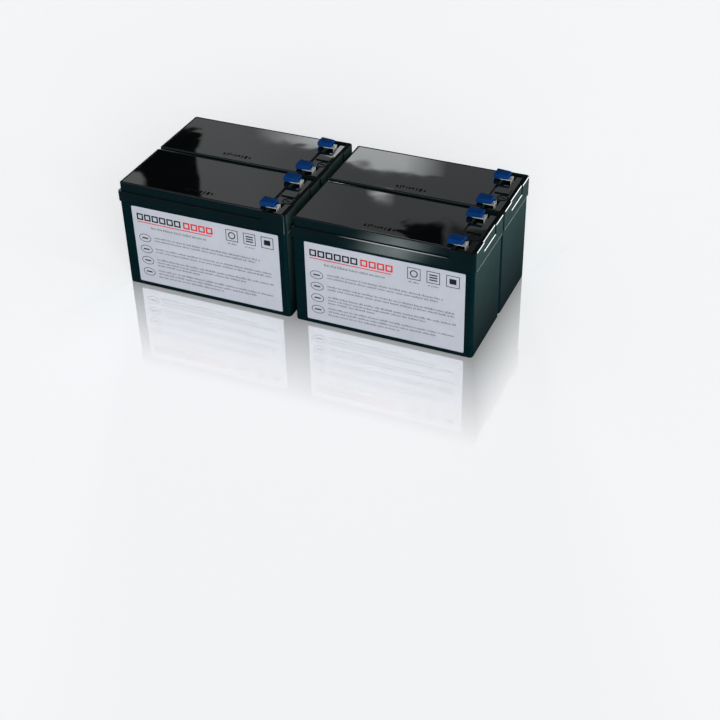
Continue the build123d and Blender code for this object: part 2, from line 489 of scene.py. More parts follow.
def model_lid():
    """The stepped lid: flange, raised top with shoulders, cover seat, terminal bay, pockets and wells."""
    low, high = corners_of(FIRST + "_lid")
    well_low, well_high = corners_of(FIRST + "_terminal_seals")
    step = low.z + FLANGE_HEIGHT
    lid = add_block(FIRST + "_moulded_lid", low, Vector((high.x, high.y, step)))

    seat_start = low.x + END_INSET + RIM_WIDTH
    seat_front = low.y + SIDE_INSET + RIM_WIDTH
    seat_back = high.y - SIDE_INSET - RIM_WIDTH
    shoulder = high.x - SHOULDER_LENGTH
    bay_start = high.x - BAY_LENGTH
    bay_end = high.x - BAY_END_RIM
    pocket_end = bay_start + POCKET_LENGTH
    pocket_front = low.y + POCKET_FROM_SIDE
    pocket_back = high.y - POCKET_FROM_SIDE
    well_width = well_high.y - well_low.y - terminal_pitch()
    lines_x = [
        low.x + END_INSET, seat_start, shoulder, bay_start, bay_end, high.x - NOTCH_DEPTH, pocket_end,
        low.x + BRIDGE_LOW.x, low.x + BRIDGE_HIGH.x, well_low.x, well_high.x,
    ]
    lines_y = [
        low.y + RIM_WIDTH, low.y + SIDE_INSET, seat_front, pocket_front, pocket_front + NEGATIVE_POCKET,
        low.y + SHOULDER_WIDTH, low.y + BRIDGE_LOW.y, low.y + BRIDGE_HIGH.y, high.y - SHOULDER_WIDTH,
        pocket_back - POSITIVE_POCKET, pocket_back, seat_back, high.y - SIDE_INSET, high.y - RIM_WIDTH,
        well_low.y, well_low.y + well_width, well_high.y - well_width, well_high.y,
    ]
    enter_edit()
    for axis, lines in ((0, lines_x), (1, lines_y)):
        for place in lines:
            pick_all()
            cut_across(axis, place)

    def in_raised(centre):
        front = (low.x + END_INSET, low.y + SIDE_INSET)
        back = (high.x - NOTCH_DEPTH, high.y - SIDE_INSET)
        main = within(centre, front, back)
        end = centre.x > shoulder
        side = centre.y < low.y + SHOULDER_WIDTH or centre.y > high.y - SHOULDER_WIDTH
        return main or (end and side)

    def in_seat(centre):
        return within(centre, (seat_start, seat_front), (bay_start, seat_back))

    def in_bay(centre):
        return within(centre, (bay_start, low.y + RIM_WIDTH), (bay_end, high.y - RIM_WIDTH))

    def in_pocket(centre):
        front = within(centre, (bay_start, pocket_front), (pocket_end, pocket_front + NEGATIVE_POCKET))
        back = within(centre, (bay_start, pocket_back - POSITIVE_POCKET), (pocket_end, pocket_back))
        return front or back

    def in_any_recess(centre):
        return in_seat(centre) or in_bay(centre) or in_pocket(centre)

    def in_bridge(centre):
        return within(centre, low + BRIDGE_LOW, low + BRIDGE_HIGH)

    def in_well(centre):
        front = within(centre, (well_low.x, well_low.y), (well_high.x, well_low.y + well_width))
        back = within(centre, (well_low.x, well_high.y - well_width), (well_high.x, well_high.y))
        return front or back

    top = high.z
    bay = top - BAY_DEPTH
    pocket = top - POCKET_DEPTH
    steps = (
        (step, in_raised, top - step),
        (top, in_any_recess, -BAY_DEPTH),
        (bay, in_seat, BAY_DEPTH - SEAT_DEPTH),
        (bay, in_pocket, BAY_DEPTH - POCKET_DEPTH),
        (bay, in_bridge, BRIDGE_HEIGHT),
        (pocket, in_well, -WELL_DEPTH),
    )
    for height, area, rise in steps:
        push(lid, height, area, rise)

    def below_ledge_end(start, end):
        at_shoulder = near(start.x, shoulder) and (near(start.y, low.y) or near(start.y, high.y))
        notch_sides = (low.y + SHOULDER_WIDTH, high.y - SHOULDER_WIDTH)
        at_notch = near(start.x, high.x) and any(near(start.y, place) for place in notch_sides)
        under = max(start.z, end.z) < step + SAME
        return upright(start, end) and under and (at_shoulder or at_notch)

    def in_recess(point):
        slack = Vector((RECESS_SLACK, RECESS_SLACK, 0.0))
        seat_low = Vector((seat_start, seat_front, 0.0)) - slack
        seat_high = Vector((bay_start, seat_back, 0.0)) + slack
        bay_low = Vector((bay_start, low.y + RIM_WIDTH, 0.0)) - slack
        bay_high = Vector((bay_end, high.y - RIM_WIDTH, 0.0)) + slack
        return within(point, seat_low, seat_high) or within(point, bay_low, bay_high)

    def rim_spoke(start, end):
        return level_at(start, end, top) and in_recess(start) != in_recess(end)

    for kept in (below_ledge_end, rim_spoke):
        pick_edges(lid, kept)
        bpy.ops.mesh.mark_seam(clear=False)
    pick_all()
    bpy.ops.mesh.dissolve_limited(angle_limit=math.radians(1.0), delimit={"NORMAL", "SEAM"})

    def outer_corner(start, end):
        at_side = near(start.x, low.x) or near(start.x, high.x)
        at_face = near(start.y, low.y) or near(start.y, high.y)
        return upright(start, end) and at_side and at_face

    def raised_corner(start, end):
        at_side = near(start.x, low.x + END_INSET)
        at_face = near(start.y, low.y + SIDE_INSET) or near(start.y, high.y - SIDE_INSET)
        return upright(start, end) and at_side and at_face

    pick_edges(lid, outer_corner)
    bevel(CORNER_RADIUS, CORNER_STEPS)
    pick_edges(lid, raised_corner)
    bevel(STEP_CORNER, 5)

    def top_outline(start, end):
        return level_at(start, end, top) and not in_recess(start) and not in_recess(end)

    def on_side(start, end):
        return on_outline(start, low, high) and on_outline(end, low, high)

    def ledge_outline(start, end):
        return level_at(start, end, step) and on_side(start, end)

    def joint_outline(start, end):
        return level_at(start, end, low.z) and on_side(start, end)

    chamfers = (
        (top_outline, TOP_CHAMFER),
        (ledge_outline, TOP_CHAMFER),
        (joint_outline, JOINT_CHAMFER),
    )
    for outline, width in chamfers:
        pick_sharp_edges(lid, outline)
        bevel(width, 1)
    pick_faces(lid, lambda centre, normal: normal.x > FACING and near(centre.x, high.x))
    # This cut bounds the band of painted joint highlight on the end face.
    cut_across(2, low.z + JOINT_CHAMFER + JOINT_HIGHLIGHT_BAND)
    soften(lid, EDGE_ROUND, angle=CORNER_ANGLE)
    return lid


def start_flat(name):
    """An empty piece in edit mode, ready for flat shapes."""
    bpy.ops.object.select_all(action="DESELECT")
    bpy.ops.mesh.primitive_plane_add(size=1.0)
    piece = settle(bpy.context.active_object, name)
    enter_edit()
    pick_all()
    bpy.ops.mesh.delete(type="VERT")
    return piece


def add_bar(middle, length, width):
    """One flat bar in edit mode, facing up, left selected on its own."""
    bpy.ops.mesh.select_all(action="DESELECT")
    bpy.ops.mesh.primitive_plane_add(size=length, location=middle)
    bpy.ops.transform.resize(value=(1.0, width / length, 1.0), center_override=middle)


def model_ring():
    """The raised ring and bar beside the negative tab."""
    low, high = corners_of(FIRST + "_lid")
    centre = Vector((low.x + RING_CENTRE.x, low.y + RING_CENTRE.y, high.z - BAY_DEPTH))
    bpy.ops.object.select_all(action="DESELECT")
    bpy.ops.mesh.primitive_circle_add(
        vertices=RING_SIDES, radius=RING_RADIUS, fill_type="NGON", location=centre
    )
    ring = settle(bpy.context.active_object, FIRST + "_minus_ring")
    enter_edit()
    pick_all()
    bpy.ops.mesh.inset(thickness=RING_LINE)
    bpy.ops.mesh.delete(type="FACE")
    add_bar(centre, RING_RADIUS - 0.4 * RING_LINE, RING_LINE)
    pick_all()
    extrude((0.0, 0.0, RING_HEIGHT))
    outward(ring)
    soften(ring, RING_EDGE)
    return ring


def model_cover():
    """The thin cover plate over the valves, cut into a fine grid for the slow waves of a welded sheet."""
    low, high = corners_of(FIRST + "_vent_cover")
    cover = add_block(FIRST + "_cover_plate", low, high)

    def top_edge(start, end):
        return level_at(start, end, high.z) and min(start.x, end.x) < high.x - COVER_EDGE

    pick_edges(cover, top_edge)
    bevel(COVER_EDGE, 3)
    for axis in (0, 1):
        count = int((high[axis] - low[axis]) / COVER_GRID)
        for step in range(1, count):
            pick_all()
            cut_across(axis, low[axis] + (high[axis] - low[axis]) * step / count)
    leave_edit()
    select_only(cover)
    bpy.ops.object.shade_smooth_by_angle(angle=math.radians(COVER_ANGLE))
    return cover


def wave_cover(cover):
    """Lets a cover's top swell and sink a little inside its edge, differently at each place."""
    points = cover.data.vertices
    low_x = min(point.co.x for point in points)
    high_x = max(point.co.x for point in points)
    low_y = min(point.co.y for point in points)
    high_y = max(point.co.y for point in points)
    top = max(point.co.z for point in points)
    sag = cover.vertex_groups.new(name="sheet")
    for point in points:
        inside = min(point.co.x - low_x, high_x - point.co.x, point.co.y - low_y, high_y - point.co.y)
        if near(point.co.z, top):
            sag.add([point.index], min(1.0, inside / COVER_WAVE_EDGE), "ADD")
    clouds = bpy.data.textures.new("sheet_waves", "CLOUDS")
    clouds.noise_scale = COVER_WAVE_SIZE
    clouds.noise_depth = 1
    apply_modifier(
        cover,
        "DISPLACE",
        texture=clouds,
        texture_coords="GLOBAL",
        direction="Z",
        mid_level=0.5,
        strength=COVER_WAVE,
        vertex_group=sag.name,
    )
    cover.vertex_groups.clear()


def model_marks():
    """A short row of tiny raised bars on the cover."""
    low, high = corners_of(FIRST + "_lid")
    start = Vector((low.x + MARK_START.x, low.y + MARK_START.y, high.z))
    draw = random.Random(7)
    marks = start_flat(FIRST + "_cover_marks")
    place = start.x
    while place < start.x + MARK_ROW:
        width = draw.choice((1.0, 1.5, 2.1)) * MM
        rise = draw.choice((-0.5, 0.0, 0.5)) * MM
        middle = Vector((place + width / 2, start.y + rise, start.z))
        add_bar(middle, width, draw.choice((2.4, 3.4, 4.4)) * MM)
        place += width + draw.choice((0.9, 1.3, 1.7)) * MM
    pick_all()
    extrude((0.0, 0.0, MARK_HEIGHT))
    outward(marks)
    return marks


def model_cap():
    """The soft blue cap over the negative tab, open towards the bend."""
    low, high = corners_of(FIRST + "_negative_sleeve")
    cap = add_block(FIRST + "_negative_cap", low, high)
    mouth = Vector((high.x, (low.y + high.y) / 2, (low.z + high.z) / 2))
    pick_faces(cap, lambda centre, normal: normal.x > FACING)
    squeeze = (1.0, CAP_MOUTH / (high.y - low.y), CAP_MOUTH_HEIGHT / (high.z - low.z))
    bpy.ops.transform.resize(value=squeeze, center_override=mouth)
    pick_all()
    bevel(CAP_ROUND, 4)
    pick_faces(cap, lambda centre, normal: normal.x > 0.98 and near(centre.x, high.x))
    bpy.ops.mesh.inset(thickness=CAP_WALL - CAP_ROUND)
    extrude((-CAP_CAVITY, 0.0, 0.0))
    leave_edit()
    shade(cap, CAP_ANGLE)
    return cap


def model_tab():
    """The bent negative tab: upright, a quarter bend, and the flat blade inside the cap."""
    low, high = corners_of(FIRST + "_negative_terminal")
    foot = Vector((high.x - TAB_THICKNESS / 2, (low.y + high.y) / 2, low.z))
    tab = start_flat(FIRST + "_negative_tab")
    add_bar(foot, TAB_THICKNESS, high.y - low.y)
    bend_height = high.z - TAB_THICKNESS / 2 - TAB_BEND
    bend_centre = Vector((foot.x - TAB_BEND, foot.y, bend_height))
    extrude((0.0, 0.0, bend_height - foot.z))
    bpy.ops.mesh.spin(steps=8, angle=math.radians(-90.0), center=bend_centre, axis=(0.0, 1.0, 0.0))
    blade = bend_centre.x - low.x
    extrude((-blade, 0.0, 0.0))
    outward(tab)
    soften(tab, TAB_EDGE)
    return tab


def model_potting():
    """The two resin plugs round the feet of the tabs."""
    low, high = corners_of(FIRST + "_terminal_seals")
    shift = terminal_pitch()
    front_high = Vector((high.x, high.y - shift, high.z))
    potting = add_block(FIRST + "_potting", low, front_high)
    pick_faces(potting, lambda centre, normal: normal.z > FACING)
    bpy.ops.mesh.inset(thickness=POTTING_INSET)
    extrude((0.0, 0.0, POTTING_RISE))
    pick_all()
    bpy.ops.mesh.duplicate_move(TRANSFORM_OT_translate={"value": (0.0, shift, 0.0)})
    soften(potting, EDGE_ROUND)
    return potting


def model_sheet():
    """The label sheet with its rounded corners."""
    low, high = corners_of(FIRST + "_label")
    sheet = add_block(FIRST + "_label_sheet", low, high)

    def through(start, end):
        return near(start.x, end.x) and near(start.z, end.z)

    pick_edges(sheet, through)
    bevel(SHEET_CORNER, 4)
    soften(sheet, SHEET_EDGE, steps=1)
    return sheet


def start_print(name):
    """A new ink piece on the first label: an empty mesh in edit mode, and the label's lower left corner."""
    corner = corners_of(FIRST + "_label")[0] - Vector((0.0, INK_GAP, 0.0))
    return start_flat(name), corner


def print_bar(corner, left, right, bottom, top):
    """One filled bar, in millimetres from the label's corner, left selected."""
    bpy.ops.mesh.select_all(action="DESELECT")
    middle = corner + Vector(((left + right) / 2 * MM, 0.0, (bottom + top) / 2 * MM))
    squeeze = (1.0, 1.0, (top - bottom) / (right - left))
    bpy.ops.mesh.primitive_plane_add(size=(right - left) * MM, location=middle, rotation=FACING_FRONT)
    bpy.ops.transform.resize(value=squeeze, center_override=middle)


def print_frame(corner, left, right, bottom, top, line):
    """One outlined rectangle."""
    print_bar(corner, left, right, bottom, top)
    bpy.ops.mesh.inset(thickness=line * MM)
    bpy.ops.mesh.delete(type="FACE")


def print_oval(corner, across, up, width, height, line):
    """One outlined oval."""
    bpy.ops.mesh.select_all(action="DESELECT")
    middle = corner + Vector((across * MM, 0.0, up * MM))
    bpy.ops.mesh.primitive_circle_add(
        vertices=40, radius=width / 2 * MM, fill_type="NGON", location=middle, rotation=FACING_FRONT
    )
    bpy.ops.transform.resize(value=(1.0, 1.0, height / width), center_override=middle)
    bpy.ops.mesh.inset(thickness=line * MM)
    bpy.ops.mesh.delete(type="FACE")


def print_words(corner, left, right, middle, height, draw):
    """One line of small letter-like bars, in groups like words."""
    place = left
    bottom = middle - height / 2
    while place < right - 1.0:
        for _ in range(draw.randint(2, 9)):
            width = draw.choice((0.5, 0.7, 0.9))
            rise = draw.choice((1.0, 1.0, 1.0, 1.4)) * height
            if place + width < right:
                print_bar(corner, place, place + width, bottom, bottom + rise)
            place += width + LETTER_GAP
        place += draw.uniform(0.6, 1.0)


def print_boxes(corner, left, count):
    """A row of equal outlined boxes."""
    for step in range(count):
        place = left + (BOX_WIDTH + BOX_GAP) * step
        print_frame(corner, place, place + BOX_WIDTH, BOX_BOTTOM, BOX_TOP, BOX_LINE)


def finish_print(ink):
    """Gives the print its thin film of ink, towards the front."""
    leave_edit()
    apply_modifier(ink, "SOLIDIFY", thickness=INK_THICKNESS, offset=1.0)
    return ink


def model_dark_print():
    """Dark header boxes, outlined squares with simple marks, and outlined ovals."""
    ink, corner = start_print(FIRST + "_dark_print")
    print_boxes(corner, 4.2, 6)
    for left in SQUARES:
        print_frame(corner, left, left + SQUARE_WIDTH, SQUARE_BOTTOM, SQUARE_TOP, SQUARE_LINE)
    print_oval(corner, 90.75, 62.2, 6.4, 6.4, 0.9)
    for rise in (59.4, 61.6, 63.8):
        print_bar(corner, 103.2, 109.6, rise, rise + 1.1)
    print_bar(corner, 119.2, 124.7, 60.0, 64.6)
    for rise in OVALS:
        print_oval(corner, OVAL_MIDDLE, rise, OVAL_WIDTH, OVAL_HEIGHT, OVAL_LINE)
        print_bar(corner, 6.8, 12.4, rise - 0.6, rise + 0.6)
    return finish_print(ink)


def model_red_print():
    """Red header boxes and the rule below the header."""
    ink, corner = start_print(FIRST + "_red_print")
    print_boxes(corner, 47.0, 4)
    print_bar(corner, 4.2, 72.4, 57.0, 57.8)
    return finish_print(ink)


def model_grey_print():
    """The small grey lines of letter-like bars."""
    ink, corner = start_print(FIRST + "_grey_print")
    draw = random.Random(21)
    print_words(corner, 16.4, 67.7, 53.0, 1.5, draw)
    print_words(corner, 86.6, 95.0, 54.4, 1.0, draw)
    print_words(corner, 102.2, 110.6, 54.4, 1.0, draw)
    for middle, right in TEXT_LINES:
        print_words(corner, TEXT_LEFT, right, middle, TEXT_HEIGHT, draw)
    return finish_print(ink)


def new_group(name, inputs, outputs):
    """An empty shader node group with named sockets."""
    group = bpy.data.node_groups.new(name, "ShaderNodeTree")
    for socket, kind, value in inputs:
        made = group.interface.new_socket(name=socket, in_out="INPUT", socket_type=kind)
        if value is not None:
            made.default_value = value
    for socket, kind in outputs:
        group.interface.new_socket(name=socket, in_out="OUTPUT", socket_type=kind)
    start = group.nodes.new("NodeGroupInput")
    end = group.nodes.new("NodeGroupOutput")
    return group, start, end


def feed(tree, socket, value):
    """Gives a socket a link or a plain value."""
    if isinstance(value, bpy.types.NodeSocket):
        tree.links.new(value, socket)
    else:
        socket.default_value = value


def add_noise(tree, vector, scale, detail=3.0, roughness=0.55):
    """A noise texture over a vector."""
    noise = tree.nodes.new("ShaderNodeTexNoise")
    feed(tree, noise.inputs["Vector"], vector)
    feed(tree, noise.inputs["Scale"], scale)
    noise.inputs["Detail"].default_value = detail
    noise.inputs["Roughness"].default_value = roughness
    return noise.outputs["Fac"]


def add_range(tree, source, low, high, to_low, to_high):
    """A range node that spreads one value over another range."""
    spread = tree.nodes.new("ShaderNodeMapRange")
    feed(tree, spread.inputs["Value"], source)
    feed(tree, spread.inputs["From Min"], low)
    feed(tree, spread.inputs["From Max"], high)
    feed(tree, spread.inputs["To Min"], to_low)
    feed(tree, spread.inputs["To Max"], to_high)
    return spread.outputs["Result"]


def add_math(tree, operation, first, second):
    """A math node over two links or numbers."""
    node = tree.nodes.new("ShaderNodeMath")
    node.operation = operation
    feed(tree, node.inputs[0], first)
    feed(tree, node.inputs[1], second)
    return node.outputs["Value"]


def mix_colors(tree, mask, first, second):
    """One colour mixed into another by a mask."""
    mix = tree.nodes.new("ShaderNodeMix")
    mix.data_type = "RGBA"
    feed(tree, mix.inputs["Factor"], mask)
    feed(tree, mix.inputs["A"], first)
    feed(tree, mix.inputs["B"], second)
    return mix.outputs["Result"]


def build_mottle_group():
    """Two colours mixed by soft clouds and fine specks."""
    group, start, end = new_group(
        "mottle",
        (
            ("Vector", "NodeSocketVector", None),
            ("Size", "NodeSocketFloat", 40.0),
            ("Speck Size", "NodeSocketFloat", 900.0),
            ("First", "NodeSocketColor", (0.5, 0.5, 0.5, 1.0)),
            ("Second", "NodeSocketColor", (0.6, 0.6, 0.6, 1.0)),
        ),
        (("Color", "NodeSocketColor"),),
    )
    place = start.outputs["Vector"]
    clouds = add_noise(group, place, start.outputs["Size"])
    specks = add_noise(group, place, start.outputs["Speck Size"], 2.0)
    slow = add_range(group, clouds, 0.3, 0.7, 0.0, 0.7)
    fine = add_range(group, specks, 0.35, 0.65, 0.0, 0.3)
    mask = add_math(group, "ADD", slow, fine)
    color = mix_colors(group, mask, start.outputs["First"], start.outputs["Second"])
    group.links.new(color, end.inputs["Color"])
    return group


def build_grain_group():
    """Fine moulded grain for bump, with a slower change of gloss."""
    group, start, end = new_group(
        "grain",
        (
            ("Vector", "NodeSocketVector", None),
            ("Grain Size", "NodeSocketFloat", 2500.0),
            ("Gloss Size", "NodeSocketFloat", 60.0),
            ("Smooth", "NodeSocketFloat", 0.3),
            ("Rough", "NodeSocketFloat", 0.5),
        ),
        (("Roughness", "NodeSocketFloat"), ("Height", "NodeSocketFloat")),
    )
    place = start.outputs["Vector"]
    grain = add_noise(group, place, start.outputs["Grain Size"], 2.0)
    gloss = add_noise(group, place, start.outputs["Gloss Size"], 4.0)
    roughness = add_range(group, gloss, 0.3, 0.7, start.outputs["Smooth"], start.outputs["Rough"])
    group.links.new(roughness, end.inputs["Roughness"])
    group.links.new(grain, end.inputs["Height"])
    return group


def build_scuff_group():
    """Hairline scuffs and dust specks as one mask."""
    group, start, end = new_group(
        "scuffs",
        (("Vector", "NodeSocketVector", None), ("Amount", "NodeSocketFloat", 0.5)),
        (("Mask", "NodeSocketFloat"),),
    )
    links = group.links
    stretch = group.nodes.new("ShaderNodeMapping")
    stretch.inputs["Rotation"].default_value = (0.0, 0.0, math.radians(17.0))
    stretch.inputs["Scale"].default_value = (1.0, 14.0, 1.0)
    links.new(start.outputs["Vector"], stretch.inputs["Vector"])
    hairs = add_noise(group, stretch.outputs["Vector"], 220.0, 2.0)
    dust = group.nodes.new("ShaderNodeTexVoronoi")
    dust.inputs["Scale"].default_value = 420.0
    links.new(start.outputs["Vector"], dust.inputs["Vector"])
    thin = add_range(group, hairs, 0.66, 0.74, 0.0, 1.0)
    spots = add_range(group, dust.outputs["Distance"], 0.10, 0.04, 0.0, 1.0)
    both = add_math(group, "MAXIMUM", thin, spots)
    amount = add_math(group, "MULTIPLY", both, start.outputs["Amount"])
    links.new(amount, end.inputs["Mask"])
    return group


MOTTLE = build_mottle_group()
GRAIN = build_grain_group()
SCUFFS = build_scuff_group()


def place_group(tree, group, **values):
    """A group node with its own values."""
    node = tree.nodes.new("ShaderNodeGroup")
    node.node_tree = group
    for socket, value in values.items():
        node.inputs[socket.replace("_", " ")].default_value = value
    return node


def surface(
    name,
    first,
    second,
    size=40.0,
    speck=900.0,
    grain=2500.0,
    gloss_size=60.0,
    smooth=0.3,
    rough=0.5,
    depth=0.02 * MM,
    stretch=(1.0, 1.0, 1.0),
    scuffs=0.0,
    dust=CASE_DUST,
    rise=None,
    **settings,
):
    """A procedural material: mottled colour, changing gloss, grain bump, scuffs and painted light that makes
    the upper part paler.
    """
    material = bpy.data.materials.new(name)
    material.use_nodes = True
    tree = material.node_tree
    links = tree.links
    shader = tree.nodes["Principled BSDF"]
    place = tree.nodes.new("ShaderNodeTexCoord")
    turn = tree.nodes.new("ShaderNodeMapping")
    turn.inputs["Scale"].default_value = stretch
    links.new(place.outputs["Object"], turn.inputs["Vector"])
    colors = {"First": (*first, 1.0), "Second": (*second, 1.0)}
    mottle = place_group(tree, MOTTLE, Size=size, Speck_Size=speck, **colors)
    fine = place_group(tree, GRAIN, Grain_Size=grain, Gloss_Size=gloss_size, Smooth=smooth, Rough=rough)
    for group in (mottle, fine):
        links.new(turn.outputs["Vector"], group.inputs["Vector"])
    color = mottle.outputs["Color"]
    roughness = fine.outputs["Roughness"]
    # Painted light: the colour turns towards a paler one with height, so the upper part looks lit.
    if rise:
        split = tree.nodes.new("ShaderNodeSeparateXYZ")
        links.new(place.outputs["Object"], split.inputs["Vector"])
        height = add_range(tree, split.outputs["Z"], 0.0, cad_high[2], 0.0, 1.0)
        color = mix_colors(tree, height, color, (*rise, 1.0))
    if scuffs:
        hairs = place_group(tree, SCUFFS, Amount=scuffs)
        links.new(turn.outputs["Vector"], hairs.inputs["Vector"])
        color = mix_colors(tree, hairs.outputs["Mask"], color, (*dust, 1.0))
        rougher = add_math(tree, "MULTIPLY", hairs.outputs["Mask"], SCUFF_ROUGHNESS)
        roughness = add_math(tree, "ADD", roughness, rougher)
    bump = tree.nodes.new("ShaderNodeBump")
    bump.inputs["Strength"].default_value = 1.0
    bump.inputs["Distance"].default_value = depth
    links.new(fine.outputs["Height"], bump.inputs["Height"])
    links.new(color, shader.inputs["Base Color"])
    links.new(roughness, shader.inputs["Roughness"])
    links.new(bump.outputs["Normal"], shader.inputs["Normal"])
    for socket, value in settings.items():
        shader.inputs[socket.replace("_", " ")].default_value = value
    return material


def build_materials():
    """All finishes of the set, by name."""
    finishes = {}
    finishes["case"] = surface(
        "satin_case_plastic", (0.0010, 0.0088, 0.0115), (0.0020, 0.0122, 0.0152),
        Specular_IOR_Level=0.015, **SATIN,
    )
    # The end faces' own copy of the case plastic, with painted light and shade: darker at the bottom, paler
    # towards the top, and little specular.
    finishes["end"] = surface(
        "end_plastic_painted_light_and_shade", (0.0002, 0.0040, 0.0062), (0.0005, 0.0056, 0.0082),
        rise=(0.034, 0.062, 0.060), Specular_IOR_Level=0.003, **SATIN,
    )
    # Painted highlight: a pale band along the joint on the end faces, standing in for light caught by the
    # joint's edge.
    finishes["joint_highlight"] = surface(
        "painted_joint_highlight_plastic", (0.24, 0.29, 0.29), (0.36, 0.41, 0.41),
        smooth=0.40, rough=0.50, depth=0.004 * MM, Specular_IOR_Level=0.01,
    )
    finishes["rim"] = surface(
        "matt_rim_plastic", (0.0010, 0.0022, 0.0026), (0.0018, 0.0034, 0.0038),
        smooth=0.50, rough=0.60, depth=0.006 * MM, Specular_IOR_Level=0.01,
    )
    finishes["lid_front"] = surface(
        "smooth_lid_front", (0.0007, 0.0066, 0.0088), (0.0014, 0.0092, 0.0116),
        smooth=0.13, rough=0.19, depth=0.002 * MM, scuffs=0.10, Specular_IOR_Level=0.09,
        Specular_Tint=(0.85, 1.0, 0.95, 1.0),
    )
    finishes["cover"] = surface(
        "polished_cover_plastic", (0.0030, 0.0038, 0.0042), (0.0050, 0.0056, 0.0060),
        smooth=0.012, rough=0.03, grain=700.0, depth=0.0004 * MM, scuffs=0.05, dust=COVER_DUST,
        Specular_IOR_Level=0.5,
    )
    finishes["cap"] = surface(
        "blue_soft_vinyl", (0.0022, 0.028, 0.125), (0.0042, 0.043, 0.178),
        size=90.0, smooth=0.42, rough=0.55, grain=1800.0, depth=0.01 * MM, Specular_IOR_Level=0.01,
    )
    finishes["tin"] = surface(
        "bright_tin", (0.86, 0.86, 0.86), (0.94, 0.94, 0.94),
        size=300.0, grain=1200.0, stretch=(0.25, 1.0, 0.25), smooth=0.22, rough=0.34, depth=0.004 * MM,
        Metallic=0.55,
    )
    finishes["paper"] = surface(
        "label_film", (0.455, 0.48, 0.545), (0.515, 0.54, 0.605),
        size=70.0, speck=1800.0, grain=1600.0, smooth=0.38, rough=0.52, depth=0.006 * MM,
        Specular_IOR_Level=0.06,
    )
    finishes["dark_ink"] = surface(
        "dark_label_ink", (0.008, 0.008, 0.011), (0.018, 0.018, 0.024),
        **INK,
    )
    finishes["red_ink"] = surface(
        "red_label_ink", (0.56, 0.022, 0.022), (0.66, 0.042, 0.040),
        **INK,
    )
    finishes["grey_ink"] = surface(
        "grey_label_ink", (0.14, 0.15, 0.18), (0.22, 0.23, 0.27),
        **INK,
    )
    finishes["potting"] = surface(
        "dark_potting_resin", (0.008, 0.009, 0.010), (0.014, 0.015, 0.016),
        size=200.0, smooth=0.12, rough=0.26, depth=0.02 * MM,
    )
    finishes["rubber"] = surface(
        "valve_rubber", (0.012, 0.012, 0.012), (0.020, 0.020, 0.020),
        smooth=0.55, rough=0.72,
    )
    finishes["positive_lead"] = surface(
        "brown_lead_oxide", (0.060, 0.038, 0.028), (0.100, 0.066, 0.050),
        size=160.0, smooth=0.70, rough=0.90, depth=0.05 * MM,
    )
    finishes["negative_lead"] = surface(
        "grey_sponge_lead", (0.150, 0.155, 0.165), (0.220, 0.225, 0.235),
        size=160.0, smooth=0.60, rough=0.85, depth=0.05 * MM,
    )
    finishes["mat"] = surface(
        "white_glass_mat", (0.70, 0.70, 0.68), (0.82, 0.82, 0.80),
        size=120.0, stretch=(1.0, 1.0, 0.3), smooth=0.85, rough=0.95, depth=0.06 * MM,
    )
    finishes["strap"] = surface(
        "cast_strap_lead", (0.26, 0.27, 0.29), (0.36, 0.37, 0.39),
        size=120.0, smooth=0.35, rough=0.55, depth=0.04 * MM, Metallic=1.0,
    )
    return finishes


def dress_inner_nodes(finishes):
    """Gives the CAD nodes that stay their own finish."""
    kept = {
        "_vent_caps": "rubber",
        "_positive_plates": "positive_lead",
        "_negative_plates": "negative_lead",
        "_separators": "mat",
        "_cell_connectors": "strap",
    }
    for block in BLOCKS:
        for ending, finish in kept.items():
            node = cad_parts[block + ending]
            node.data.materials.clear()
            node.data.materials.append(finishes[finish])


def piece_on(first, block, ending):
    """The first block's own piece, or its copy on another block."""
    if block == FIRST:
        return first
    return copy_by(first, block + ending, block_shift(block))


def dress_blocks(finishes):
    """Models the first block's pieces, copies them to all places and dresses them."""
    low, high = corners_of(FIRST + "_lid")
    joint_highlight_top = low.z + JOINT_CHAMFER + JOINT_HIGHLIGHT_BAND

    # End faces below this height get the painted joint highlight.
    def on_joint_highlight(centre, normal):
        return normal.x > FACING and centre.z < joint_highlight_top

    def on_rim(centre, normal):
        return normal.z > 0.95 and near(centre.z, high.z)

    shared_areas = (
        ("cover", lambda centre, normal: normal.z > 0.3),
        # End faces take the end plastic with its painted light and shade.
        ("end", lambda centre, normal: normal.x > FACING),
    )
    lid_areas = (
        ("joint_highlight", on_joint_highlight),
        ("rim", on_rim),
        ("lid_front", lambda centre, normal: normal.y < -FACING),
    )
    pieces = (
        (model_tub(), "case", "case_plastic", "_tub", ("_container",), shared_areas),
        (model_lid(), "case", "case_plastic", "_moulded_lid", ("_lid",), shared_areas + lid_areas),
        (model_ring(), "case", "case_plastic", "_minus_ring", (), ()),
        (model_cover(), "cover", "cover_plastic", "_cover_plate", ("_vent_cover",), ()),
        (model_marks(), "rim", "cover_plastic", "_cover_marks", (), ()),
        (model_potting(), "potting", "potting_resin", "_potting", ("_terminal_seals",), ()),
    )
    for first, finish, slot, ending, nodes, areas in pieces:
        for block in BLOCKS:
            piece = piece_on(first, block, ending)
            if ending == "_cover_plate":
                wave_cover(piece)
            dress(piece, finishes[finish], slot, *(block + node for node in nodes))
            for area_finish, wanted in areas:
                finish_faces(piece, finishes[area_finish], wanted)


def dress_terminals(finishes):
    """Models one cap and one tab, copies them to all terminals and dresses them."""
    start = corners_of(FIRST + "_negative_terminal")[0]
    cap = model_cap()
    tab = model_tab()
    for block in BLOCKS:
        for pole in POLES:
            name = block + "_" + pole
            shift = corners_of(name + "_terminal")[0] - start
            piece = cap
            blade = tab
            if name != FIRST + "_negative":
                piece = copy_by(cap, name + "_cap", shift)
                blade = copy_by(tab, name + "_tab", shift)
            dress(piece, finishes["cap"], "sleeve_plastic", name + "_sleeve")
            dress(blade, finishes["tin"], "tab_metal", name + "_terminal")


